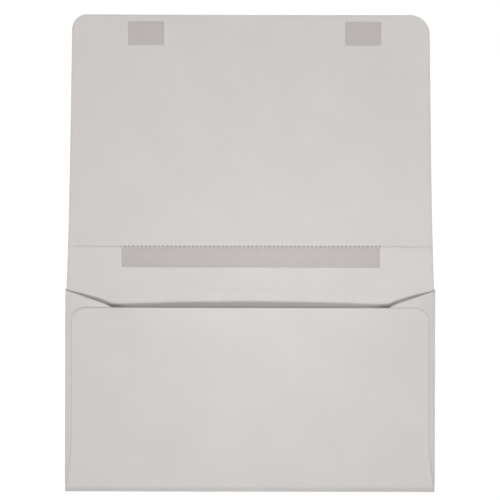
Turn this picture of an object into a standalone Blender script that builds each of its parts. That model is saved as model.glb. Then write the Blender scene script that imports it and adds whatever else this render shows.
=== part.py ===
"""Cash deposit envelope with a tear-off coupon, lying face down with its flap open.

One sheet of paper is scored and folded into a shallow pocket. Above the pocket's score line comes a
short seal flap with a strip of dry gum, then a perforation, then a long coupon with two gum spots.
The model is in metres. X runs across the pocket, Y from the bottom fold to the coupon's free edge,
and Z up from the back panel. The origin is the middle of the whole open envelope, on the surface it
lies on.
"""
import math

import bmesh
import bpy

# Paper stock and the room that separate meshes keep
PAPER = 0.00014             # thickness of the paper
GAP = 0.0003                # room between two faces that touch on the real envelope
FILM = 0.0001               # thickness of a glue or gum deposit

# Pocket
POCKET_WIDTH = 0.1651
POCKET_HEIGHT = 0.0904      # bottom fold to score line
MOUTH_RISE = 0.0046         # how far the mouth stands open beyond its closed height, at its middle
RISE_ALONG_POWER = 1.3      # how late the front panel leaves the back, from bottom fold to mouth
RISE_ACROSS_POWER = 2.7     # how full the open mouth is across: 2 is a parabola

# Side flaps, folded in from the pocket's sides
SIDE_FLAP_WIDTH = 0.0245
SIDE_FLAP_SLOPE = 0.362     # fall of the diagonal top edge, per length inwards
SIDE_FLAP_FOOT = 0.004      # from the bottom fold to the side flap's lower edge, at the side fold

# Front panel, folded up from the bottom
MOUTH_DROP = 0.0083         # from the score line down to the front panel's top edge
FRONT_INSET = 0.0027        # from the pocket's side to the front panel's side
FRONT_FOOT_INSET = 0.0002   # the same at the bottom fold, where the front panel widens
FRONT_FLARE_HEIGHT = 0.024  # height over which it widens
FRONT_FLARE_POWER = 1.5
FRONT_CORNER_RADIUS = 0.0066

# Seam glue, between side flap and front panel
SEAM_GLUE_WIDTH = 0.008
SEAM_GLUE_INSET = 0.007     # from the pocket's side to the glue
SEAM_GLUE_FOOT = 0.0125     # from the bottom fold to the glue
SEAM_GLUE_HEAD = 0.006      # from the front panel's top edge down to the glue

# Seal flap, from the score line to the perforation
SEAL_FLAP_HEIGHT = 0.019
FLAP_SHOULDER = 0.0005      # from the pocket's side in to the flap's side, at the score line
SEAL_FLAP_TAPER = 0.00065   # how far each side of the seal flap leans in up to the perforation
GUM_STRIP_WIDTH = 0.1153
GUM_STRIP_HEIGHT = 0.0091
GUM_STRIP_OFFSET = 0.0002   # from the flap's centre line, to the right
GUM_STRIP_MARGIN = 0.0001   # from the flap's perforated edge

# Perforated strip, which tears off with the coupon
STRIP_HEIGHT = 0.0012       # from the perforation to the coupon's fold line
TIE_PITCH = 0.0019
TIE_WIDTH = 0.00095
TIE_LENGTH = 0.0004

# Coupon
COUPON_HEIGHT = 0.1021      # from its fold line to its free edge
COUPON_TAPER = 0.0017       # how far each of its sides leans in
COUPON_TAPER_POWER = 0.75   # under 1, a side leans in sooner and is slightly hollow
COUPON_LEFT_RADIUS = 0.0065  # of its two free corners
COUPON_RIGHT_RADIUS = 0.0086
GUM_SPOT_WIDTH = 0.0161
GUM_SPOT_HEIGHT = 0.0106
GUM_SPOT_MARGIN = 0.0029    # from the coupon's free edge
LEFT_SPOT_INSET = 0.0249    # from the coupon's upper left corner in to the left gum spot
RIGHT_SPOT_INSET = 0.0215

# How fine the curved shapes are
FOLD_STEPS = 6
CORNER_STEPS = 6
SIDE_STEPS = 6
ACROSS_STEPS = 24
ALONG_STEPS = 14

# Places that follow from the sizes, along Y
FLAP_LENGTH = SEAL_FLAP_HEIGHT + STRIP_HEIGHT + COUPON_HEIGHT
BOTTOM_Y = -(POCKET_HEIGHT + FLAP_LENGTH) / 2
SCORE_Y = BOTTOM_Y + POCKET_HEIGHT
MOUTH_Y = SCORE_Y - MOUTH_DROP
PERFORATION_Y = SCORE_Y + SEAL_FLAP_HEIGHT
COUPON_FOLD_Y = PERFORATION_Y + STRIP_HEIGHT
COUPON_END_Y = COUPON_FOLD_Y + COUPON_HEIGHT

# Half widths of the flap and coupon, which follow the pocket's width
FLAP_SIDE = POCKET_WIDTH / 2 - FLAP_SHOULDER
PERFORATION_SIDE = FLAP_SIDE - SEAL_FLAP_TAPER
COUPON_SIDE = PERFORATION_SIDE - COUPON_TAPER

# Heights of the layers where the pocket is closed, each the middle of its sheet
SHEET_Z = PAPER / 2
SIDE_FLAP_Z = SHEET_Z + PAPER + GAP
SEAM_GLUE_Z = SIDE_FLAP_Z + PAPER / 2 + GAP + FILM / 2
FRONT_Z = SEAM_GLUE_Z + FILM / 2 + GAP + PAPER / 2
DEPOSIT_Z = PAPER + GAP + FILM / 2

# The two folds of the pocket are half rounds from the back panel up to the next layer
SIDE_FOLD_RADIUS = (SIDE_FLAP_Z - SHEET_Z) / 2
BOTTOM_FOLD_RADIUS = (FRONT_Z - SHEET_Z) / 2
SIDE_FOLD_X = POCKET_WIDTH / 2 - SIDE_FOLD_RADIUS - PAPER / 2
BOTTOM_FOLD_Y = BOTTOM_Y + BOTTOM_FOLD_RADIUS + PAPER / 2

# Heights of the hinge axes: the closed seal flap clears the open mouth, and the folded coupon
# clears the closed seal flap
DEPOSIT_STACK = PAPER + GAP + FILM
MOUTH_TOP_Z = FRONT_Z + MOUTH_RISE + PAPER / 2
SEAL_HINGE_Z = (MOUTH_TOP_Z + GAP + DEPOSIT_STACK) / 2
COUPON_HINGE_Z = SEAL_HINGE_Z + (GAP + DEPOSIT_STACK) / 2

PAPER_COLOUR = (0.62, 0.595, 0.575, 1.0)
GUM_COLOUR = (0.55, 0.505, 0.49, 1.0)
GLUE_COLOUR = (0.72, 0.70, 0.64, 1.0)


def clear_scene():
    for item in list(bpy.data.objects):
        bpy.data.objects.remove(item, do_unlink=True)


def make_collection(name):
    collection = bpy.data.collections.new(name)
    bpy.context.scene.collection.children.link(collection)
    return collection


def make_material(name, colour, roughness):
    material = bpy.data.materials.new(name)
    material.use_nodes = True
    shader = material.node_tree.nodes["Principled BSDF"]
    shader.inputs["Base Color"].default_value = colour
    shader.inputs["Roughness"].default_value = roughness
    shader.inputs["Metallic"].default_value = 0.0
    material.diffuse_color = colour
    return material


def add_empty(name, place, collection, parent=None):
    """An empty on a joint's axis. Place is in world coordinates."""
    empty = bpy.data.objects.new(name, None)
    empty.empty_display_size = 0.01
    collection.objects.link(empty)
    put_under(empty, place, parent)
    return empty


def put_under(item, place, parent):
    """Put an object at a world place, under a parent that isn't turned."""
    item.location = place
    while parent is not None:
        item.parent = item.parent or parent
        item.location = [here - up for here, up in zip(item.location, parent.location)]
        parent = parent.parent


def arc(centre, radius, start, end, steps):
    """Points on an arc in the XY plane, with its angles in degrees."""
    angles = [math.radians(start + (end - start) * step / steps) for step in range(steps + 1)]
    return [(centre[0] + radius * math.cos(a), centre[1] + radius * math.sin(a)) for a in angles]


def flat_piece(name, outline, middle_z, thickness, material, collection, parent=None, origin_y=0.0):
    """A flat sheet from its outline, which is in world X and Y."""
    curve = bpy.data.curves.new(name, "CURVE")
    curve.dimensions = "2D"
    curve.fill_mode = "BOTH"
    curve.extrude = thickness / 2
    spline = curve.splines.new("POLY")
    spline.points.add(len(outline) - 1)
    for point, (x, y) in zip(spline.points, outline):
        point.co = (x, y - origin_y, 0.0, 1.0)
    spline.use_cyclic_u = True
    curve.materials.append(material)
    item = bpy.data.objects.new(name, curve)
    collection.objects.link(item)
    put_under(item, (0.0, origin_y, middle_z), parent)
    return item


def bent_piece(name, columns, rows, place, thickness, material, collection):
    """A bent sheet: a grid whose vertices are placed by column and row, then given its thickness."""
    mesh = bpy.data.meshes.new(name)
    grid = bmesh.new()
    bmesh.ops.create_grid(grid, x_segments=columns, y_segments=rows, size=1.0)
    for vertex in grid.verts:
        column = round((vertex.co.x + 1.0) / 2.0 * columns)
        row = round((vertex.co.y + 1.0) / 2.0 * rows)
        vertex.co = place(column, row)
    grid.to_mesh(mesh)
    grid.free()
    mesh.shade_smooth()
    mesh.materials.append(material)
    item = bpy.data.objects.new(name, mesh)
    collection.objects.link(item)
    shell = item.modifiers.new("paper_thickness", "SOLIDIFY")
    shell.thickness = thickness
    shell.offset = 0.0
    shell.use_even_offset = True
    return item


def pocket_rise(x, y):
    """How far the front of the pocket stands above its closed height."""
    across = 1.0 - abs(x / SIDE_FOLD_X) ** RISE_ACROSS_POWER
    along = (y - BOTTOM_FOLD_Y) / (MOUTH_Y - BOTTOM_FOLD_Y)
    return MOUTH_RISE * max(across, 0.0) * max(along, 0.0) ** RISE_ALONG_POWER


def between(low, high, step, steps):
    return low + (high - low) * step / steps


def make_back_panel(collection):
    side = SIDE_FOLD_X - GAP
    low = BOTTOM_FOLD_Y + GAP
    high = SCORE_Y - GAP / 2
    outline = [(-side, low), (side, low), (side, high), (-side, high)]
    material = make_material("back_panel_paper", PAPER_COLOUR, 0.85)
    flat_piece("back_panel", outline, SHEET_Z, PAPER, material, collection)


def make_side_flap(name, side, collection):
    """Side is -1 on the left and 1 on the right. The flap starts with its rounded fold."""
    leg_steps = 8
    inner_reach = SIDE_FLAP_WIDTH - (POCKET_WIDTH / 2 - SIDE_FOLD_X)

    def place(column, row):
        inwards = max(column - FOLD_STEPS, 0) / leg_steps * inner_reach
        top = SCORE_Y - GAP - SIDE_FLAP_SLOPE * inwards
        foot = BOTTOM_Y + SIDE_FLAP_FOOT + SIDE_FLAP_SLOPE * inwards
        y = between(foot, top, row, ALONG_STEPS)
        turn = math.pi * min(column, FOLD_STEPS) / FOLD_STEPS
        x = SIDE_FOLD_X + SIDE_FOLD_RADIUS * math.sin(turn) - inwards
        z = SHEET_Z + SIDE_FOLD_RADIUS * (1.0 - math.cos(turn))
        if inwards:
            z += pocket_rise(x, y)
        return side * x, y, z

    material = make_material(name + "_paper", PAPER_COLOUR, 0.85)
    bent_piece(name, FOLD_STEPS + leg_steps, ALONG_STEPS, place, PAPER, material, collection)


def front_half_width(y):
    """The front panel widens near the bottom fold."""
    height = max(y - BOTTOM_Y, 0.0)
    flare = max(1.0 - height / FRONT_FLARE_HEIGHT, 0.0) ** FRONT_FLARE_POWER
    return POCKET_WIDTH / 2 - FRONT_INSET + (FRONT_INSET - FRONT_FOOT_INSET) * flare


def make_front_panel(collection):
    """The front panel starts with the rounded bottom fold and ends in two rounded corners."""
    columns = ACROSS_STEPS + 2 * CORNER_STEPS

    def top_of(column):
        """Share of the half width, and height of the top edge, in this column."""
        widest = POCKET_WIDTH / 2 - FRONT_INSET
        straight = widest - FRONT_CORNER_RADIUS
        beyond = max(CORNER_STEPS - column, column - CORNER_STEPS - ACROSS_STEPS, 0)
        if not beyond:
            return between(-straight, straight, column - CORNER_STEPS, ACROSS_STEPS) / widest, MOUTH_Y
        turn = math.pi / 2 * beyond / CORNER_STEPS
        x = straight + FRONT_CORNER_RADIUS * math.sin(turn)
        y = MOUTH_Y - FRONT_CORNER_RADIUS * (1.0 - math.cos(turn))
        return (-x if column < CORNER_STEPS else x) / widest, y

    def place(column, row):
        share, top = top_of(column)
        turn = math.pi * min(row, FOLD_STEPS) / FOLD_STEPS
        y = BOTTOM_FOLD_Y - BOTTOM_FOLD_RADIUS * math.sin(turn)
        z = SHEET_Z + BOTTOM_FOLD_RADIUS * (1.0 - math.cos(turn))
        if row > FOLD_STEPS:
            y = between(BOTTOM_FOLD_Y, top, row - FOLD_STEPS, ALONG_STEPS)
        x = share * front_half_width(y)
        if row > FOLD_STEPS:
            z += pocket_rise(x, y)
        return x, y, z

    material = make_material("front_panel_paper", PAPER_COLOUR, 0.85)
    bent_piece("front_panel", columns, FOLD_STEPS + ALONG_STEPS, place, PAPER, material, collection)


def make_seam_glue(name, side, collection):
    across = 4
    outer = POCKET_WIDTH / 2 - SEAM_GLUE_INSET
    foot = BOTTOM_Y + SEAM_GLUE_FOOT
    head = MOUTH_Y - SEAM_GLUE_HEAD

    def place(column, row):
        x = outer - SEAM_GLUE_WIDTH * column / across
        y = between(foot, head, row, ALONG_STEPS)
        return side * x, y, SEAM_GLUE_Z + pocket_rise(x, y)

    material = make_material(name + "_film", GLUE_COLOUR, 0.4)
    bent_piece(name, across, ALONG_STEPS, place, FILM, material, collection)


def rectangle(middle_x, width, low, high):
    left = middle_x - width / 2
    right = middle_x + width / 2
    return [(left, low), (right, low), (right, high), (left, high)]


def make_seal_flap(hinge, collection):
    low = SCORE_Y + GAP / 2
    high = PERFORATION_Y - GAP / 2
    outline = [
        (-FLAP_SIDE, low),
        (FLAP_SIDE, low),
        (PERFORATION_SIDE, high),
        (-PERFORATION_SIDE, high),
    ]
    paper = make_material("seal_flap_paper", PAPER_COLOUR, 0.85)
    flat_piece("seal_flap", outline, SHEET_Z, PAPER, paper, collection, hinge, SCORE_Y)

    top = high - GUM_STRIP_MARGIN
    strip = rectangle(GUM_STRIP_OFFSET, GUM_STRIP_WIDTH, top - GUM_STRIP_HEIGHT, top)
    gum = make_material("seal_gum_strip_film", GUM_COLOUR, 0.45)
    flat_piece("seal_gum_strip", strip, DEPOSIT_Z, FILM, gum, collection, hinge, SCORE_Y)


def make_perforated_strip(slide, collection):
    """A narrow strip whose lower edge is a comb: each tooth is one tie of the perforation."""
    high = COUPON_FOLD_Y - GAP / 2
    tips = PERFORATION_Y + GAP / 2
    roots = tips + TIE_LENGTH
    half = PERFORATION_SIDE
    ties = int((2 * half - 2 * TIE_WIDTH) / TIE_PITCH) + 1
    first = -(ties - 1) * TIE_PITCH / 2
    outline = [(half, roots), (half, high), (-half, high), (-half, roots)]
    for tie in range(ties):
        left = first + tie * TIE_PITCH - TIE_WIDTH / 2
        right = left + TIE_WIDTH
        outline += [(left, roots), (left, tips), (right, tips), (right, roots)]
    material = make_material("perforated_strip_paper", PAPER_COLOUR, 0.85)
    flat_piece("perforated_strip", outline, SHEET_Z, PAPER, material, collection, slide, COUPON_FOLD_Y)


def coupon_side(side, low, high):
    """Points up one side of the coupon, which leans in. Side is -1 on the left, 1 on the right."""
    points = []
    for step in range(SIDE_STEPS + 1):
        y = between(low, high, step, SIDE_STEPS)
        share = (y - COUPON_FOLD_Y) / COUPON_HEIGHT
        points.append((side * (PERFORATION_SIDE - COUPON_TAPER * share**COUPON_TAPER_POWER), y))
    return points


def coupon_corner(side, radius):
    """Points round a free corner, from the coupon's side to its free edge."""
    inner = coupon_side(side, COUPON_FOLD_Y, COUPON_END_Y - radius)[-1]
    centre = (inner[0] - side * radius, inner[1])
    return arc(centre, radius, 90 - side * 90, 90, CORNER_STEPS)


def make_coupon(hinge, collection):
    low = COUPON_FOLD_Y + GAP / 2
    right = coupon_side(1, low, COUPON_END_Y - COUPON_RIGHT_RADIUS)[:-1]
    left = coupon_side(-1, low, COUPON_END_Y - COUPON_LEFT_RADIUS)[:-1]
    outline = right + coupon_corner(1, COUPON_RIGHT_RADIUS)
    outline += reversed(left + coupon_corner(-1, COUPON_LEFT_RADIUS))
    paper = make_material("coupon_paper", PAPER_COLOUR, 0.85)
    flat_piece("coupon", outline, SHEET_Z, PAPER, paper, collection, hinge, COUPON_FOLD_Y)

    high = COUPON_END_Y - GUM_SPOT_MARGIN
    left_middle = LEFT_SPOT_INSET + GUM_SPOT_WIDTH / 2 - COUPON_SIDE
    right_middle = COUPON_SIDE - RIGHT_SPOT_INSET - GUM_SPOT_WIDTH / 2
    for name, middle in (("left_gum_spot", left_middle), ("right_gum_spot", right_middle)):
        spot = rectangle(middle, GUM_SPOT_WIDTH, high - GUM_SPOT_HEIGHT, high)
        gum = make_material(name + "_film", GUM_COLOUR, 0.45)
        flat_piece(name, spot, DEPOSIT_Z, FILM, gum, collection, hinge, COUPON_FOLD_Y)


def main():
    clear_scene()
    collection = make_collection("cash_deposit_envelope")

    make_back_panel(collection)
    make_front_panel(collection)
    for word, side in (("left", -1), ("right", 1)):
        make_side_flap(word + "_side_flap", side, collection)
        make_seam_glue(word + "_seam_glue", side, collection)

    seal_hinge = add_empty("seal_flap_axis", (0.0, SCORE_Y, SEAL_HINGE_Z), collection)
    make_seal_flap(seal_hinge, collection)

    coupon_slide = add_empty("coupon_tear_axis", (0.0, PERFORATION_Y, SHEET_Z), collection)
    make_perforated_strip(coupon_slide, collection)
    fold_place = (0.0, COUPON_FOLD_Y, COUPON_HINGE_Z)
    coupon_hinge = add_empty("coupon_fold_axis", fold_place, collection, coupon_slide)
    make_coupon(coupon_hinge, collection)


main()
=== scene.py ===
# Looks of the cash deposit envelope: folded paper, a perforation and dry gum. Every place is in
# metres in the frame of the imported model: X across the pocket, Y towards the coupon, Z up.
import math

import bmesh
import bpy
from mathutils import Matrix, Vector


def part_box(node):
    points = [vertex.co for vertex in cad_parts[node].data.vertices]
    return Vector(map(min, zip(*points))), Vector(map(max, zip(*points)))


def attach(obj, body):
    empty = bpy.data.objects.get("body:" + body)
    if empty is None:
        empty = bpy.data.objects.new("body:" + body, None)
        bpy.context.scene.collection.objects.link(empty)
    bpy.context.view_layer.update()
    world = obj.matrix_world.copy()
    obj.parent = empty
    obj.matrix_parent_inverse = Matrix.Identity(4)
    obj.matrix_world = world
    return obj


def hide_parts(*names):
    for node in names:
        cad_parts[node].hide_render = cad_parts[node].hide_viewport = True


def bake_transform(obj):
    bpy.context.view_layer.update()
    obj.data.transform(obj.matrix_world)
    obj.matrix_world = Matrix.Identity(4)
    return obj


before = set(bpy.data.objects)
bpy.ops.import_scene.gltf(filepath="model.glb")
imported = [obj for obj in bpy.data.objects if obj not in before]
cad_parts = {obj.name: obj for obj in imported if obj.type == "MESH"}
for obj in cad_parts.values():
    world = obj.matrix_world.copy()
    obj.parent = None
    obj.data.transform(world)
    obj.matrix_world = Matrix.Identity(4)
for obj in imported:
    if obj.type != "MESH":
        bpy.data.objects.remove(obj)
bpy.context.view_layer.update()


def side_of(node, axis, high=True):
    """One side of a CAD node's box, along axis 0, 1 or 2."""
    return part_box(node)[1 if high else 0][axis]


# Places, all read from the frame
PAPER = side_of("back_panel", 2) - side_of("back_panel", 2, False)
BOTTOM_Y = side_of("front_panel", 1, False)
MOUTH_Y = side_of("front_panel", 1)
SCORE_Y = (side_of("back_panel", 1) + side_of("seal_flap", 1, False)) / 2
PERFORATION_Y = (side_of("seal_flap", 1) + side_of("perforated_strip", 1, False)) / 2
FOLD_Y = (side_of("perforated_strip", 1) + side_of("coupon", 1, False)) / 2
END_Y = side_of("coupon", 1)
POCKET_SIDE = side_of("right_side_flap", 0)
FLAP_SIDE = side_of("seal_flap", 0)
PERFORATION_SIDE = side_of("perforated_strip", 0)
MOUTH_TOP = side_of("front_panel", 2)
SIDE_FLAP_INNER = side_of("right_side_flap", 0, False)
GUM_MIDDLE = (side_of("seal_gum_strip", 0) + side_of("seal_gum_strip", 0, False)) / 2
GUM_SIDE = side_of("seal_gum_strip", 0) - GUM_MIDDLE

# Sizes of the paper's own shape
COUPON_TAPER = 0.0017
COUPON_TAPER_POWER = 0.75
COUPON_RADII = {-1: 0.0065, 1: 0.0086}
FRONT_INSET = 0.0027
FRONT_FOOT_INSET = 0.0002
FRONT_FLARE = 0.024
FRONT_FLARE_POWER = 1.5
FRONT_RADIUS = 0.0066
SIDE_FLAP_SLOPE = 0.33
SIDE_FLAP_DROP = 0.00037    # from the score line down to the flap's top edge, at the side fold
SIDE_FLAP_BOW = 0.001       # how much further the edge falls near its inner end
BOW_START = 0.0165
BOW_LENGTH = 0.0065
SIDE_FLAP_FOOT = 0.004
SIDE_FLAP_SPRING = 0.12     # rise of the unglued tip, per length beyond the front panel
SPRING_REACH = 0.012
RISE_ALONG_POWER = 1.3
RISE_ACROSS_POWER = 2.1
FOLD_PUFF = 0.0009          # how far the springy bottom fold stands open at its middle
AIR = 0.00003               # between two sheets that touch
SIDE_EDGE_LIFT = 0.00025    # how far the front panel's free edges stand off the side flaps
EDGE_LIFT_REACH = 0.002     # how far in from the edge that lift goes
EDGE_LIFT_START = 0.004     # over the side flap, from its inner end to the full lift
EDGE_LIFT_GROWTH = 0.01     # up from the bottom fold, to the full lift
MOUTH_ZONE = 0.0135         # of the back panel, below the score line, that has a fine mesh
TIE_PITCH = 0.0019
TIE_WIDTH = 0.00095
SLIT_HALF_WIDTH = 0.00003
SLIT_RAMP = 0.00012         # from a tie's end to the full depth of the slit
LIP_REACH = 0.00018         # paper that the perforating tooth has turned down, beside a slit
LIP_DEPTH = 0.00016
MARGIN_COLUMNS = 6          # from the sheet's side to its first tie
RIDGE = 0.00025             # how far the perforation's burr lifts the paper
CREASE_SPAN = 0.0032        # paper that turns when a flap folds
FILM = 0.00004              # thickness of the dry gum
GLUE = 0.00002              # thickness of the seam glue
GLUE_SHARE = 0.5            # of the CAD glue's width
GLUE_WOBBLES = ((0.0003, 700, 0.0), (0.0002, 1730, 1.0))  # size, turns along Y, start
FILM_SINK = 0.000005        # how far the gum is soaked into the paper
GUM_CORNER = 0.0006         # reach of the softened corners of a gum deposit
GUM_CORNER_PULL = 0.15      # how far a corner is drawn in, of that reach
GUM_RIM = 0.0016            # width of its less pink rim
GUM_WOBBLE = 0.00005        # unevenness of its edges
GUM_WOBBLE_POWER = 20       # a high power keeps the unevenness at the edges
GUM_WOBBLE_TURNS = (2900, 2100)

# The slight lie of the flap and the coupon on the table
LIE_START = 0.004           # from the score line to where the sheet leaves the table
LIE_GROWTH = 0.03
SWELL_HEIGHT = 0.00012      # of the gentle waves in the sheet
SWELLS = ((0.3, 58, 41, 0.6), (0.2, 97, -36, 2.1))  # size, turns along X and Y, start
CORNER_RISE = 0.00022       # more at the coupon's two free corners
CORNER_START = (0.05, 0.07)
CORNER_GROWTH = (0.03, 0.036)
RIDGE_REACH = 0.005
EASE = 0.95                 # how strongly mesh rows crowd towards both ends
SHARP_EDGE = math.radians(40)

SHEET_Z = PAPER / 2
SIDE_FOLD_RADIUS = (PAPER + AIR) / 2
SIDE_FLAP_Z = SHEET_Z + 2 * SIDE_FOLD_RADIUS
FRONT_Z = SIDE_FLAP_Z + PAPER + AIR
SIDE_FOLD_X = POCKET_SIDE - SIDE_FOLD_RADIUS - PAPER / 2
MOUTH_GAPE = MOUTH_TOP - PAPER / 2 - FRONT_Z

# Painted shade on the paper, from 0 to 1: 1 is the darkest
CUT_EDGE_SHADE = 0.5
CUT_EDGE_REACH = 0.00016
FLAP_EDGE_SHADE = 0.95
FLAP_EDGE_REACHES = (0.00024, 0.00042)  # at the side fold, and further in
FLAP_EDGE_CHANGE = 0.012    # length over which it changes
SIDE_FOLD_SHADE = 0.1
SIDE_FOLD_REACH = 0.0007
OUTLINE_SHADE = 0.08
OUTLINE_REACH = 0.0006
BACK_FOLD_SHADE = 0.2
BACK_FOLD_REACH = 0.001
BOTTOM_FOLD_SHADE = 0.17
BOTTOM_FOLD_BAND = 0.0014   # height of the band of painted shade along the bottom fold
BOTTOM_FOLD_FADE = 0.001
MOUTH_END_SHADE = 0.7
SHADE_PAST_FLAP = 0.004     # its middle, outwards from the side flap's inner end
SHADE_PAST_MOUTH = 0.0004   # and up from the front panel's top edge
SHADE_LENGTH = 0.005
SHADE_WIDTH = 0.0013
SLIT_SHADE_BELOW = 0.7       # on the seal flap's side of the perforation
SLIT_REACH_BELOW = 0.00008
SLIT_REACH_ABOVE = 0.0002   # on the coupon's side
TIE_SHADE = 0.05
TIE_REACH = 0.0002
SLIT_SHADE_BESIDE_GUM = 0.5       # of the painted slit shade's strength over the gum strip's width
SLIT_SHADE_CHANGE = 0.002         # length over which it changes

# Colours and the translucence of the paper
PAPER_COLOUR = (0.640, 0.616, 0.601)
STRIP_GUM = (0.433, 0.389, 0.380)
STRIP_GUM_RIM = (0.408, 0.389, 0.376)
SPOT_GUM = (0.470, 0.422, 0.412)
SPOT_GUM_RIM = (0.442, 0.422, 0.408)
GLUE_COLOUR = (0.70, 0.67, 0.58)
FLOOR_GREY = 0.90
FLOOR_ROUGHNESS = 0.9
FLOOR_GLOSS = 0.1
FLOOR_GLOW = 0.13           # keeps the table white in the picture
PAPER_TRANSLUCENCE = 1.0
TRANSLUCENCE_DEPTH = 0.00025
SHADED_TO = 0.3               # brightness of the darkest painted shade, of the plain paper's
NOISE_SPAN = (0.3, 0.7)     # what a noise texture mostly stays within
CLOUD_SCALE = 45.0
FORMATION_SCALE = 900.0
FIBRE_SCALE = 1500.0
FIBRE_STRETCH = 0.16
TOOTH_SCALE = 2600.0
TOOTH_DEPTH = 0.00003
ROLLER_LINE_SCALE = 900.0
ROLLER_LINE_STRETCH = 0.05
ROLLER_LINE_DEPTH = 0.00002

# Studio
CAMERA_HEIGHT = 1.5
CAMERA_AIM = (-0.00015, 0.0015)
CAMERA_ROLL = 0.0023
VIEW_WIDTH = 0.22315
SENSOR = 36.0
FLOOR_HALF = 3.0
FLOOR_DROP = 0.00002        # the floor lies this far under the paper
SKY = 0.135
MIDDLE = (0.0, 0.0, 0.0)
KEY_LEAN = math.radians(26.0)
KEY_STRENGTH = 1.855
KEY_ANGLE = math.radians(11.0)
RAKE_PLACE = (-0.68, 0.47, 0.56)
RAKE_STRENGTH = 0.55
RAKE_ANGLE = math.radians(20.0)
OVERHEAD_PLACE = (0.0, -0.01, 0.9)
OVERHEAD_AIM = (0.0, -0.01, 0.0)
OVERHEAD_POWER = 1.78
OVERHEAD_SIZE = 0.5
POOL_PLACE = (0.016, -0.026, 0.125)
POOL_AIM = (0.016, -0.026, 0.0)
POOL_POWER = 0.0262
POOL_SIZE = 0.05


def smooth(value):
    value = min(max(value, 0.0), 1.0)
    return value * value * (3.0 - 2.0 * value)


def mix(low, high, share):
    return low + (high - low) * share


def gape(x, y):
    """How far the front of the pocket stands off its closed height."""
    across = max(1.0 - abs(x / SIDE_FOLD_X) ** RISE_ACROSS_POWER, 0.0)
    along = max((y - BOTTOM_Y) / (MOUTH_Y - BOTTOM_Y), 0.0)
    return across * mix(FOLD_PUFF, MOUTH_GAPE, along**RISE_ALONG_POWER)


def wave(x, y):
    """The slight lie of the open flap and coupon above the surface they rest on."""
    grow = smooth((y - SCORE_Y - LIE_START) / LIE_GROWTH)
    swell = 0.5
    for size, turns_x, turns_y, start in SWELLS:
        swell += size * math.sin(turns_x * x + turns_y * y + start)
    corner = smooth((abs(x) - CORNER_START[0]) / CORNER_GROWTH[0])
    corner *= smooth((y - CORNER_START[1]) / CORNER_GROWTH[1])
    ridge = math.exp(-(((y - PERFORATION_Y) / RIDGE_REACH) ** 2))
    return grow * (SWELL_HEIGHT * swell + CORNER_RISE * corner) + RIDGE * ridge


def shade_near(distance, reach):
    """1 on an edge, falling to 0 over a few times reach."""
    return math.exp(-((max(distance, 0.0) / reach) ** 1.5))


def eased(step, steps):
    """Shares from 0 to 1 that lie close together near both ends."""
    share = step / steps
    return share - EASE * math.sin(2.0 * math.pi * share) / (2.0 * math.pi)


def mouth_end_shade(x, y):
    """Darker paper on the back panel at the two ends of the mouth. It stands in for the deep
    shadow there, which the lights alone leave too light."""
    across = (abs(x) - SIDE_FLAP_INNER - SHADE_PAST_FLAP) / SHADE_LENGTH
    along = (y - MOUTH_Y - SHADE_PAST_MOUTH) / SHADE_WIDTH
    return MOUTH_END_SHADE * math.exp(-(across * across) - along * along)


def fold_shade(y):
    """Painted shade in a band along the bottom fold."""
    faded = smooth((y - BOTTOM_Y - BOTTOM_FOLD_BAND) / BOTTOM_FOLD_FADE)
    return BOTTOM_FOLD_SHADE * (1.0 - faded)


def slit_shade_strength(x):
    """How strong the painted shade at the slits is: 1 over the gum strip's width, as in the photo,
    less beside it.
    """
    beside = smooth((abs(x - GUM_MIDDLE) - GUM_SIDE) / SLIT_SHADE_CHANGE)
    return mix(1.0, SLIT_SHADE_BESIDE_GUM, beside)


def slit_depth(distance, cut):
    """How far the paper beside a slit is turned down. cut is 1 in a slit and 0 on a tie."""
    return cut * LIP_DEPTH * smooth(1.0 - distance / LIP_REACH)


def finish_mesh(item, body=None):
    """Apply the modifiers, so that the mesh is final, and keep hard edges hard."""
    bpy.context.view_layer.update()
    depsgraph = bpy.context.evaluated_depsgraph_get()
    mesh = bpy.data.meshes.new_from_object(item.evaluated_get(depsgraph))
    item.modifiers.clear()
    item.data = mesh
    mesh.shade_smooth()
    mesh.set_sharp_from_angle(angle=SHARP_EDGE)
    if body:
        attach(item, body)
    return item


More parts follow.
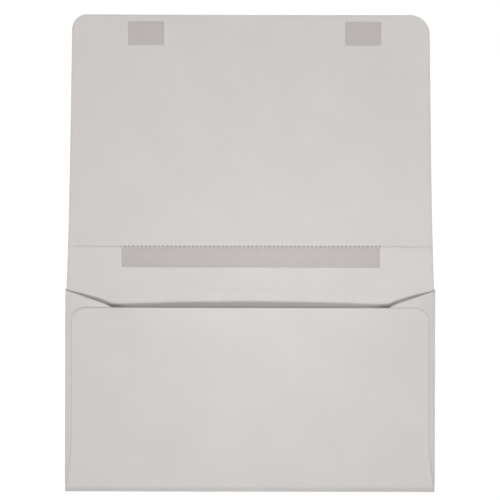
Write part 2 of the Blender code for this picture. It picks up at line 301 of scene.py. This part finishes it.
def sheet(name, columns, rows, place, thickness, material, lies_flat=False):
    """A sheet with real thickness. place(column, row) gives its middle surface's point, its flat
    place on the paper, for the texture, and how dark its painted shade is there, or on gum how strong
    its rim, from 0 to 1.
    A sheet that lies flat gets its thickness straight up and down, a bent one square to itself."""
    mesh = bpy.data.meshes.new(name)
    build = bmesh.new()
    flat = build.loops.layers.uv.new("flat")
    # A float per point: how dark the painted shade is on paper, or how strong the rim is on gum.
    shade_or_rim_layer = build.verts.layers.float.new("shade_or_rim_layer")
    places = {}
    grid = []
    for row in range(rows + 1):
        line = []
        for column in range(columns + 1):
            point, flat_place, shade_or_rim = place(column, row)
            vertex = build.verts.new(point)
            vertex[shade_or_rim_layer] = shade_or_rim
            places[vertex] = flat_place
            line.append(vertex)
        grid.append(line)
    for low, high in zip(grid, grid[1:]):
        for a, b, c, d in zip(low, low[1:], high[1:], high):
            build.faces.new((a, b, c, d))
    if lies_flat:
        under = bmesh.ops.extrude_face_region(build, geom=build.faces[:])["geom"]
        lower = [part for part in under if isinstance(part, bmesh.types.BMVert)]
        upper = [vertex for line in grid for vertex in line]
        bmesh.ops.translate(build, vec=(0.0, 0.0, thickness / 2), verts=upper)
        bmesh.ops.translate(build, vec=(0.0, 0.0, -thickness / 2), verts=lower)
        bmesh.ops.recalc_face_normals(build, faces=build.faces[:])
    for face in build.faces:
        for loop in face.loops:
            loop[flat].uv = loop.vert.co.xy if lies_flat else places[loop.vert]
    build.to_mesh(mesh)
    build.free()
    item = bpy.data.objects.new(name, mesh)
    bpy.context.scene.collection.objects.link(item)
    mesh.materials.append(material)
    if not lies_flat:
        shell = item.modifiers.new("thickness", "SOLIDIFY")
        shell.thickness = thickness
        shell.offset = 0.0
        shell.use_even_offset = True
    return item


# ---------------------------------------------------------------- materials


def node(tree, kind, **values):
    item = tree.nodes.new(kind)
    for key, value in values.items():
        setattr(item, key, value)
    return item


def noise(tree, coordinates, scale, detail=3.0, roughness=0.55, stretch=(1.0, 1.0, 1.0), turn=0.0):
    mapping = node(tree, "ShaderNodeMapping")
    mapping.inputs["Scale"].default_value = stretch
    mapping.inputs["Rotation"].default_value = (0.0, 0.0, turn)
    texture = node(tree, "ShaderNodeTexNoise")
    texture.inputs["Scale"].default_value = scale
    texture.inputs["Detail"].default_value = detail
    texture.inputs["Roughness"].default_value = roughness
    tree.links.new(coordinates, mapping.inputs["Vector"])
    tree.links.new(mapping.outputs["Vector"], texture.inputs["Vector"])
    return texture.outputs["Fac"]


def ramp(tree, value, low, high, out_low, out_high):
    """value from low..high to out_low..out_high, kept inside."""
    item = node(tree, "ShaderNodeMapRange")
    limits = {"From Min": low, "From Max": high, "To Min": out_low, "To Max": out_high}
    for key, number in limits.items():
        item.inputs[key].default_value = number
    tree.links.new(value, item.inputs["Value"])
    return item.outputs["Result"]


def times(tree, first, second):
    item = node(tree, "ShaderNodeMath", operation="MULTIPLY")
    tree.links.new(first, item.inputs[0])
    tree.links.new(second, item.inputs[1])
    return item.outputs[0]


def scaled_colour(tree, colour, factor):
    """A colour, plain or linked, made lighter or darker by factor."""
    item = node(tree, "ShaderNodeVectorMath", operation="SCALE")
    if isinstance(colour, tuple):
        item.inputs[0].default_value = colour
    else:
        tree.links.new(colour, item.inputs[0])
    tree.links.new(factor, item.inputs["Scale"])
    return item.outputs[0]


def new_material(name):
    material = bpy.data.materials.new(name)
    material.use_nodes = True
    tree = material.node_tree
    shader = tree.nodes["Principled BSDF"]
    coordinates = node(tree, "ShaderNodeUVMap", uv_map="flat").outputs["UV"]
    return material, tree, shader, coordinates


def paper_material():
    """Warm light grey wove paper: cloudy formation, short fibres, a faint tooth, and painted shade at
    folds, edges, slits and the mouth's ends.
    """
    material, tree, shader, flat = new_material("grey_wove_paper")
    cloud = ramp(tree, noise(tree, flat, CLOUD_SCALE, 3.0), *NOISE_SPAN, 0.985, 1.015)
    fine_cloud = noise(tree, flat, FORMATION_SCALE, 4.0, 0.6)
    formation = ramp(tree, fine_cloud, *NOISE_SPAN, 0.982, 1.018)
    dark_fibres = noise(tree, flat, FIBRE_SCALE, 2.0, 0.5, (1.0, FIBRE_STRETCH, 1.0), 0.5)
    fibres = ramp(tree, dark_fibres, 0.62, 0.74, 1.0, 0.955)
    pale_fibres = noise(tree, flat, FIBRE_SCALE, 2.0, 0.5, (FIBRE_STRETCH, 1.0, 1.0), -0.3)
    strands = ramp(tree, pale_fibres, 0.63, 0.75, 1.0, 1.035)
    shade_or_rim = node(tree, "ShaderNodeAttribute", attribute_name="shade_or_rim_layer").outputs["Fac"]
    # Painted shade: the attribute darkens the paper's colour.
    painted_shade_tone = ramp(tree, shade_or_rim, 0.0, 1.0, 1.0, SHADED_TO)
    threads = times(tree, fibres, strands)
    tone = times(tree, times(tree, cloud, formation), times(tree, threads, painted_shade_tone))
    tree.links.new(scaled_colour(tree, PAPER_COLOUR, tone), shader.inputs["Base Color"])
    rough = ramp(tree, noise(tree, flat, 700.0, 2.0), *NOISE_SPAN, 0.80, 0.92)
    tree.links.new(rough, shader.inputs["Roughness"])
    shader.inputs["Specular IOR Level"].default_value = 0.25
    shader.inputs["Subsurface Weight"].default_value = PAPER_TRANSLUCENCE
    shader.inputs["Subsurface Radius"].default_value = (1.0, 0.95, 0.9)
    shader.inputs["Subsurface Scale"].default_value = TRANSLUCENCE_DEPTH
    tooth = node(tree, "ShaderNodeBump")
    tooth.inputs["Strength"].default_value = 0.35
    tooth.inputs["Distance"].default_value = TOOTH_DEPTH
    tree.links.new(noise(tree, flat, TOOTH_SCALE, 4.0, 0.65), tooth.inputs["Height"])
    tree.links.new(tooth.outputs["Normal"], shader.inputs["Normal"])
    return material


def gum_material(name, inside, rim_colour):
    """Dry remoistenable gum: a thin, faintly pink film with a soft gloss and fine roller lines."""
    material, tree, shader, flat = new_material(name)
    patch = ramp(tree, noise(tree, flat, 260.0, 3.0), 0.35, 0.65, 0.985, 1.015)
    fine = ramp(tree, noise(tree, flat, 1800.0, 3.0), *NOISE_SPAN, 0.985, 1.015)
    rim = node(tree, "ShaderNodeAttribute", attribute_name="shade_or_rim_layer").outputs["Fac"]
    blend = node(tree, "ShaderNodeMix", data_type="RGBA")
    blend.inputs["A"].default_value = (*inside, 1.0)
    blend.inputs["B"].default_value = (*rim_colour, 1.0)
    tree.links.new(rim, blend.inputs["Factor"])
    tone = times(tree, patch, fine)
    tree.links.new(scaled_colour(tree, blend.outputs["Result"], tone), shader.inputs["Base Color"])
    rough = ramp(tree, noise(tree, flat, 420.0, 3.0), *NOISE_SPAN, 0.38, 0.55)
    tree.links.new(rough, shader.inputs["Roughness"])
    shader.inputs["Specular IOR Level"].default_value = 0.4
    lines = noise(tree, flat, ROLLER_LINE_SCALE, 2.0, 0.5, (ROLLER_LINE_STRETCH, 1.0, 1.0))
    relief = node(tree, "ShaderNodeBump")
    relief.inputs["Strength"].default_value = 0.3
    relief.inputs["Distance"].default_value = ROLLER_LINE_DEPTH
    tree.links.new(lines, relief.inputs["Height"])
    tree.links.new(relief.outputs["Normal"], shader.inputs["Normal"])
    return material


def glue_material():
    """Dried seam glue: a cloudy, slightly yellow film."""
    material, tree, shader, flat = new_material("dried_seam_glue")
    tone = ramp(tree, noise(tree, flat, 500.0, 3.0), *NOISE_SPAN, 0.93, 1.05)
    tree.links.new(scaled_colour(tree, GLUE_COLOUR, tone), shader.inputs["Base Color"])
    rough = ramp(tree, noise(tree, flat, 300.0, 2.0), *NOISE_SPAN, 0.3, 0.5)
    tree.links.new(rough, shader.inputs["Roughness"])
    return material


# ---------------------------------------------------------------- paper


def front_half_width(y):
    flare = max(1.0 - (y - BOTTOM_Y) / FRONT_FLARE, 0.0) ** FRONT_FLARE_POWER
    return POCKET_SIDE - FRONT_INSET + (FRONT_INSET - FRONT_FOOT_INSET) * flare


def rounded_end(x, side, end, radius):
    """Height of a sheet's end at x, where its two corners are rounded."""
    beyond = min(max(abs(x) - (side - radius), 0.0), radius)
    return end - radius + math.sqrt(radius * radius - beyond * beyond)


def spread_columns(side, radius, across, corner):
    """Column places over the width, close together where a corner's arc is steep."""
    angles = [math.pi / 2 * step / corner for step in range(1, corner + 1)]
    places = [radius * math.sin(angle) + side - radius for angle in angles]
    straight = [mix(radius - side, side - radius, step / across) for step in range(across + 1)]
    return [-x for x in reversed(places)] + straight + places


def make_pocket(paper):
    """One sheet: front panel, rounded bottom fold and back panel, up to the score line."""
    widest = POCKET_SIDE - FRONT_INSET
    columns = spread_columns(widest, FRONT_RADIUS, 56, 14)
    front_rows, fold_rows, back_rows, mouth_rows = 64, 12, 16, 36
    mouth_zone = SCORE_Y - MOUTH_ZONE

    def bottom_fold(x):
        """Radius of the fold at x, and the Y of its centre."""
        radius = (FRONT_Z + gape(x, BOTTOM_Y) - SHEET_Z) / 2
        return radius, BOTTOM_Y + radius + PAPER / 2

    def place(column, row):
        share = columns[column] / widest
        radius, centre_y = bottom_fold(share * SIDE_FOLD_X)
        top = rounded_end(columns[column], widest, MOUTH_Y, FRONT_RADIUS)
        if row <= front_rows:
            y = mix(top, centre_y, eased(row, front_rows))
            x = share * front_half_width(y)
            edge = min(front_half_width(y) - abs(x), top - y)
            over_flap = smooth((abs(x) - SIDE_FLAP_INNER) / EDGE_LIFT_START)
            raised = over_flap * smooth((y - centre_y) / EDGE_LIFT_GROWTH)
            lift = SIDE_EDGE_LIFT * shade_near(edge, EDGE_LIFT_REACH) * raised
            z = FRONT_Z + gape(x, y) + lift
            # Painted shade along the front panel's cut edges, for the shadow under their lifted edge,
            # and in the band along the bottom fold.
            shade_or_rim = max(CUT_EDGE_SHADE * shade_near(edge, CUT_EDGE_REACH), fold_shade(y))
            return (x, y, z), (x, 2 * BOTTOM_Y - y), shade_or_rim
        if row <= front_rows + fold_rows:
            turn = math.pi * (row - front_rows) / fold_rows
            y = centre_y - radius * math.sin(turn)
            z = SHEET_Z + radius * (1.0 + math.cos(turn))
            side = mix(front_half_width(centre_y), SIDE_FOLD_X, (row - front_rows) / fold_rows)
            x = share * side
            # Painted shade on the bottom fold's band.
            return (x, y, z), (x, BOTTOM_Y - radius * math.cos(turn)), fold_shade(y)
        step = row - front_rows - fold_rows
        if step <= back_rows:
            y = mix(centre_y, mouth_zone, step / back_rows)
        else:
            y = mix(mouth_zone, SCORE_Y, (step - back_rows) / mouth_rows)
        x = share * SIDE_FOLD_X
        from_fold = min(SIDE_FOLD_X - abs(x), y - BOTTOM_Y)
        # Painted shade beside the side and bottom folds, and at the two ends of the mouth.
        shade_or_rim = max(BACK_FOLD_SHADE * shade_near(from_fold, BACK_FOLD_REACH), mouth_end_shade(x, y))
        return (x, y, SHEET_Z), (x, y), shade_or_rim

    rows = front_rows + fold_rows + back_rows + mouth_rows
    item = sheet("pocket_paper", len(columns) - 1, rows, place, PAPER, paper)
    finish_mesh(item, "pocket")
    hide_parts("front_panel", "back_panel")


def make_side_flap(name, side, paper):
    """A side flap with its tight fold. It starts on the back panel's side, butted to it."""
    fold_columns, leg_columns, rows = 8, 24, 60
    reach = SIDE_FOLD_X - SIDE_FLAP_INNER

    def place(column, row):
        inwards = max(column - fold_columns, 0) / leg_columns * reach
        turn = math.pi * min(column, fold_columns) / fold_columns
        x = SIDE_FOLD_X + SIDE_FOLD_RADIUS * math.sin(turn) - inwards
        bow = SIDE_FLAP_BOW * smooth((inwards - BOW_START) / BOW_LENGTH)
        top = SCORE_Y - SIDE_FLAP_DROP - SIDE_FLAP_SLOPE * inwards - bow
        foot = BOTTOM_Y + SIDE_FLAP_FOOT + SIDE_FLAP_SLOPE * inwards
        y = mix(foot, top, eased(row, rows))
        z = SHEET_Z + SIDE_FOLD_RADIUS * (1.0 - math.cos(turn))
        if inwards:
            z += gape(x, y)
            z += SIDE_FLAP_SPRING * max(y - MOUTH_Y, 0.0) * smooth(inwards / SPRING_REACH)
        along = SIDE_FOLD_X + SIDE_FOLD_RADIUS * turn + inwards
        # Painted shade along the flap's diagonal cut edge, for the shadow it casts, and beside its
        # fold.
        reach_here = mix(*FLAP_EDGE_REACHES, smooth(inwards / FLAP_EDGE_CHANGE))
        edge_shade = FLAP_EDGE_SHADE * shade_near(top - y, reach_here)
        shade_or_rim = max(SIDE_FOLD_SHADE * shade_near(inwards, SIDE_FOLD_REACH), edge_shade)
        return (side * x, y, z), (side * along, y), shade_or_rim

    item = sheet(name + "_paper", fold_columns + leg_columns, rows, place, PAPER, paper)
    finish_mesh(item, "pocket")
    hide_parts(name)


def make_seam_glue(name, side, glue):
    """The thin glue line between a side flap and the front panel."""
    low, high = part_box(name)
    middle = abs(low.x + high.x) / 2
    width = high.x - low.x
    across, along = 6, 60

    def place(column, row):
        y = mix(low.y, high.y, row / along)
        wobble = sum(size * math.sin(y * turns + start) for size, turns, start in GLUE_WOBBLES)
        x = middle + (column / across - 0.5) * (width * GLUE_SHARE + wobble)
        z = (SIDE_FLAP_Z + FRONT_Z) / 2 + gape(x, y)
        return (side * x, y, z), (side * x, y), 0.0

    item = sheet(name + "_film", across, along, place, GLUE, glue)
    finish_mesh(item, "pocket")
    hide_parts(name)


def perforation_columns():
    """Column places in the margins and at every tie's ends, and 1 in a slit or 0 on a tie."""
    ties = int((2 * PERFORATION_SIDE - 2 * TIE_WIDTH) / TIE_PITCH) + 1
    first = -(ties - 1) * TIE_PITCH / 2
    margin = PERFORATION_SIDE + first - TIE_WIDTH / 2
    places = []
    for step in range(MARGIN_COLUMNS):
        places.append((-PERFORATION_SIDE + margin * (step / MARGIN_COLUMNS) ** 2, 1))
    places.append((-PERFORATION_SIDE + margin - SLIT_RAMP, 1))
    for tie in range(ties):
        left = first + tie * TIE_PITCH - TIE_WIDTH / 2
        right = left + TIE_WIDTH
        places += [(left, 0), (right, 0)]
        if tie < ties - 1:
            places += [(right + SLIT_RAMP, 1), (left + TIE_PITCH - SLIT_RAMP, 1)]
    places += [(-x, cut) for x, cut in reversed(places[: MARGIN_COLUMNS + 1])]
    return places


def paper_beside_slit(distance, x, cut, reach):
    """Painted shade beside the perforation: dark dashes at the slits, faint on the ties."""
    shade_strength = slit_shade_strength(x)
    slit_shade = cut * shade_strength * shade_near(distance, reach * (0.5 + shade_strength))
    return slit_shade + TIE_SHADE * shade_near(distance, TIE_REACH)


def make_seal_flap(paper, columns):
    """From the score line to the perforation. Its first stretch, where the paper turns when the flap
    folds, has fine rows.
    """
    crease_rows, plain_rows, lip_rows = 24, 18, 6
    crease_end = SCORE_Y + CREASE_SPAN

    def place(column, row):
        position, cut = columns[column]
        end = PERFORATION_Y - cut * SLIT_HALF_WIDTH
        if row <= crease_rows:
            y = mix(SCORE_Y, crease_end, row / crease_rows)
        elif row <= crease_rows + plain_rows:
            y = mix(crease_end, end - LIP_REACH, (row - crease_rows) / plain_rows)
        else:
            y = end - LIP_REACH * (1.0 - (row - crease_rows - plain_rows) / lip_rows)
        side = mix(FLAP_SIDE, PERFORATION_SIDE, (y - SCORE_Y) / (PERFORATION_Y - SCORE_Y))
        x = position / PERFORATION_SIDE * side
        z = SHEET_Z + wave(x, y) - slit_depth(end - y, cut)
        # Painted shade beside the perforation's slits and ties.
        beside_slit = paper_beside_slit(end - y, x, SLIT_SHADE_BELOW * cut, SLIT_REACH_BELOW)
        # Painted shade along the flap's two sides, and beside the perforation.
        shade_or_rim = max(OUTLINE_SHADE * shade_near(side - abs(x), OUTLINE_REACH), beside_slit)
        return (x, y, z), (x, y), shade_or_rim

    rows = crease_rows + plain_rows + lip_rows
    item = sheet("seal_flap_paper", len(columns) - 1, rows, place, PAPER, paper, True)
    finish_mesh(item)
    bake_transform(item)
    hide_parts("seal_flap")


def make_coupon(paper, columns):
    """From the perforation to the coupon's free edge, with its two rounded corners."""
    lip_rows, crease_rows, plain_rows = 6, 24, 44
    crease_end = FOLD_Y + CREASE_SPAN
    coupon_side = PERFORATION_SIDE - COUPON_TAPER

    def place(column, row):
        position, cut = columns[column]
        share = position / PERFORATION_SIDE
        start = PERFORATION_Y + cut * SLIT_HALF_WIDTH
        radius = COUPON_RADII[-1 if share < 0 else 1]
        top = rounded_end(share * coupon_side, coupon_side, END_Y, radius)
        if row <= lip_rows:
            y = start + LIP_REACH * row / lip_rows
        elif row <= lip_rows + crease_rows:
            y = mix(start + LIP_REACH, crease_end, (row - lip_rows) / crease_rows)
        else:
            y = mix(crease_end, top, eased(row - lip_rows - crease_rows, plain_rows))
        lean = max(y - FOLD_Y, 0.0) / (END_Y - FOLD_Y)
        side = PERFORATION_SIDE - COUPON_TAPER * lean**COUPON_TAPER_POWER
        x = share * side
        edge = min(side - abs(x), top - y)
        z = SHEET_Z + wave(x, y) - slit_depth(y - start, cut)
        # Painted shade beside the perforation's slits and ties.
        beside_slit = paper_beside_slit(y - start, x, cut, SLIT_REACH_ABOVE)
        # Painted shade along the coupon's sides and free edge, and beside the perforation.
        shade_or_rim = max(OUTLINE_SHADE * shade_near(edge, OUTLINE_REACH), beside_slit)
        return (x, y, z), (x, y), shade_or_rim

    rows = lip_rows + crease_rows + plain_rows
    item = sheet("coupon_paper", len(columns) - 1, rows, place, PAPER, paper, True)
    finish_mesh(item)
    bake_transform(item)
    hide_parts("coupon", "perforated_strip")


def make_gum(name, body, gum, across, along):
    """A dry gum deposit on the paper, with slightly uneven edges and softened corners."""
    low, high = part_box(name)
    middle = (low + high) / 2
    half = (high - low) / 2

    def place(column, row):
        u = column / across * 2.0 - 1.0
        v = row / along * 2.0 - 1.0
        x = middle.x + u * half.x
        y = middle.y + v * half.y
        from_side = (1.0 - abs(u)) * half.x
        from_end = (1.0 - abs(v)) * half.y
        pull = max(1.0 - from_side / GUM_CORNER, 0.0) * max(1.0 - from_end / GUM_CORNER, 0.0)
        x -= math.copysign(GUM_CORNER_PULL * GUM_CORNER * pull, u)
        y -= math.copysign(GUM_CORNER_PULL * GUM_CORNER * pull, v)
        x += GUM_WOBBLE * abs(u) ** GUM_WOBBLE_POWER * math.sin(y * GUM_WOBBLE_TURNS[0])
        y += GUM_WOBBLE * abs(v) ** GUM_WOBBLE_POWER * math.sin(x * GUM_WOBBLE_TURNS[1])
        z = PAPER + FILM / 2 - FILM_SINK + wave(x, y)
        rim = max(shade_near(from_side, GUM_RIM), shade_near(from_end, GUM_RIM))
        return (x, y, z), (x, y), rim

    item = sheet(name + "_film", across, along, place, FILM, gum, True)
    finish_mesh(item, body)
    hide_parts(name)


# ---------------------------------------------------------------- studio


def make_floor():
    mesh = bpy.data.meshes.new("floor")
    build = bmesh.new()
    bmesh.ops.create_grid(build, x_segments=1, y_segments=1, size=FLOOR_HALF)
    build.to_mesh(mesh)
    build.free()
    floor = bpy.data.objects.new("floor", mesh)
    floor.location.z = -FLOOR_DROP
    bpy.context.scene.collection.objects.link(floor)
    material = bpy.data.materials.new("white_table")
    material.use_nodes = True
    shader = material.node_tree.nodes["Principled BSDF"]
    shader.inputs["Base Color"].default_value = (FLOOR_GREY, FLOOR_GREY, FLOOR_GREY, 1.0)
    shader.inputs["Roughness"].default_value = FLOOR_ROUGHNESS
    shader.inputs["Specular IOR Level"].default_value = FLOOR_GLOSS
    shader.inputs["Emission Color"].default_value = (1.0, 1.0, 1.0, 1.0)
    shader.inputs["Emission Strength"].default_value = FLOOR_GLOW
    mesh.materials.append(material)


def add_light(name, kind, place, aim, energy, size):
    light = bpy.data.lights.new(name, kind)
    light.energy = energy
    if kind == "SUN":
        light.angle = size
    else:
        light.shape = "DISK"
        light.size = size
    item = bpy.data.objects.new(name, light)
    item.location = place
    item.rotation_euler = (Vector(aim) - Vector(place)).to_track_quat("-Z", "Y").to_euler()
    bpy.context.scene.collection.objects.link(item)


def make_studio():
    world = bpy.data.worlds.new("studio")
    world.use_nodes = True
    background = world.node_tree.nodes["Background"]
    background.inputs["Color"].default_value = (1.0, 1.0, 1.0, 1.0)
    background.inputs["Strength"].default_value = SKY
    scene = bpy.context.scene
    scene.world = world
    scene.view_settings.view_transform = "Standard"
    scene.view_settings.look = "None"

    key_place = (0.0, -math.sin(KEY_LEAN), math.cos(KEY_LEAN))
    add_light("key", "SUN", key_place, MIDDLE, KEY_STRENGTH, KEY_ANGLE)
    add_light("rake", "SUN", RAKE_PLACE, MIDDLE, RAKE_STRENGTH, RAKE_ANGLE)
    add_light("overhead", "AREA", OVERHEAD_PLACE, OVERHEAD_AIM, OVERHEAD_POWER, OVERHEAD_SIZE)
    add_light("pool", "AREA", POOL_PLACE, POOL_AIM, POOL_POWER, POOL_SIZE)

    lens = bpy.data.cameras.new("camera")
    lens.type = "PERSP"
    lens.sensor_width = SENSOR
    lens.lens = SENSOR * CAMERA_HEIGHT / VIEW_WIDTH
    lens.clip_start = 0.01
    camera = bpy.data.objects.new("camera", lens)
    camera.location = (CAMERA_AIM[0], CAMERA_AIM[1], CAMERA_HEIGHT)
    camera.rotation_euler.z = CAMERA_ROLL
    scene.collection.objects.link(camera)
    scene.camera = camera


def main():
    make_studio()
    make_floor()
    paper = paper_material()
    strip_gum = gum_material("dry_gum", STRIP_GUM, STRIP_GUM_RIM)
    spot_gum = gum_material("thin_dry_gum", SPOT_GUM, SPOT_GUM_RIM)
    glue = glue_material()
    make_pocket(paper)
    for word, side in (("left", -1), ("right", 1)):
        make_side_flap(word + "_side_flap", side, paper)
        make_seam_glue(word + "_seam_glue", side, glue)
    columns = perforation_columns()
    make_seal_flap(paper, columns)
    make_coupon(paper, columns)
    make_gum("seal_gum_strip", "seal_flap", strip_gum, 160, 24)
    make_gum("left_gum_spot", "coupon", spot_gum, 40, 28)
    make_gum("right_gum_spot", "coupon", spot_gum, 40, 28)


main()
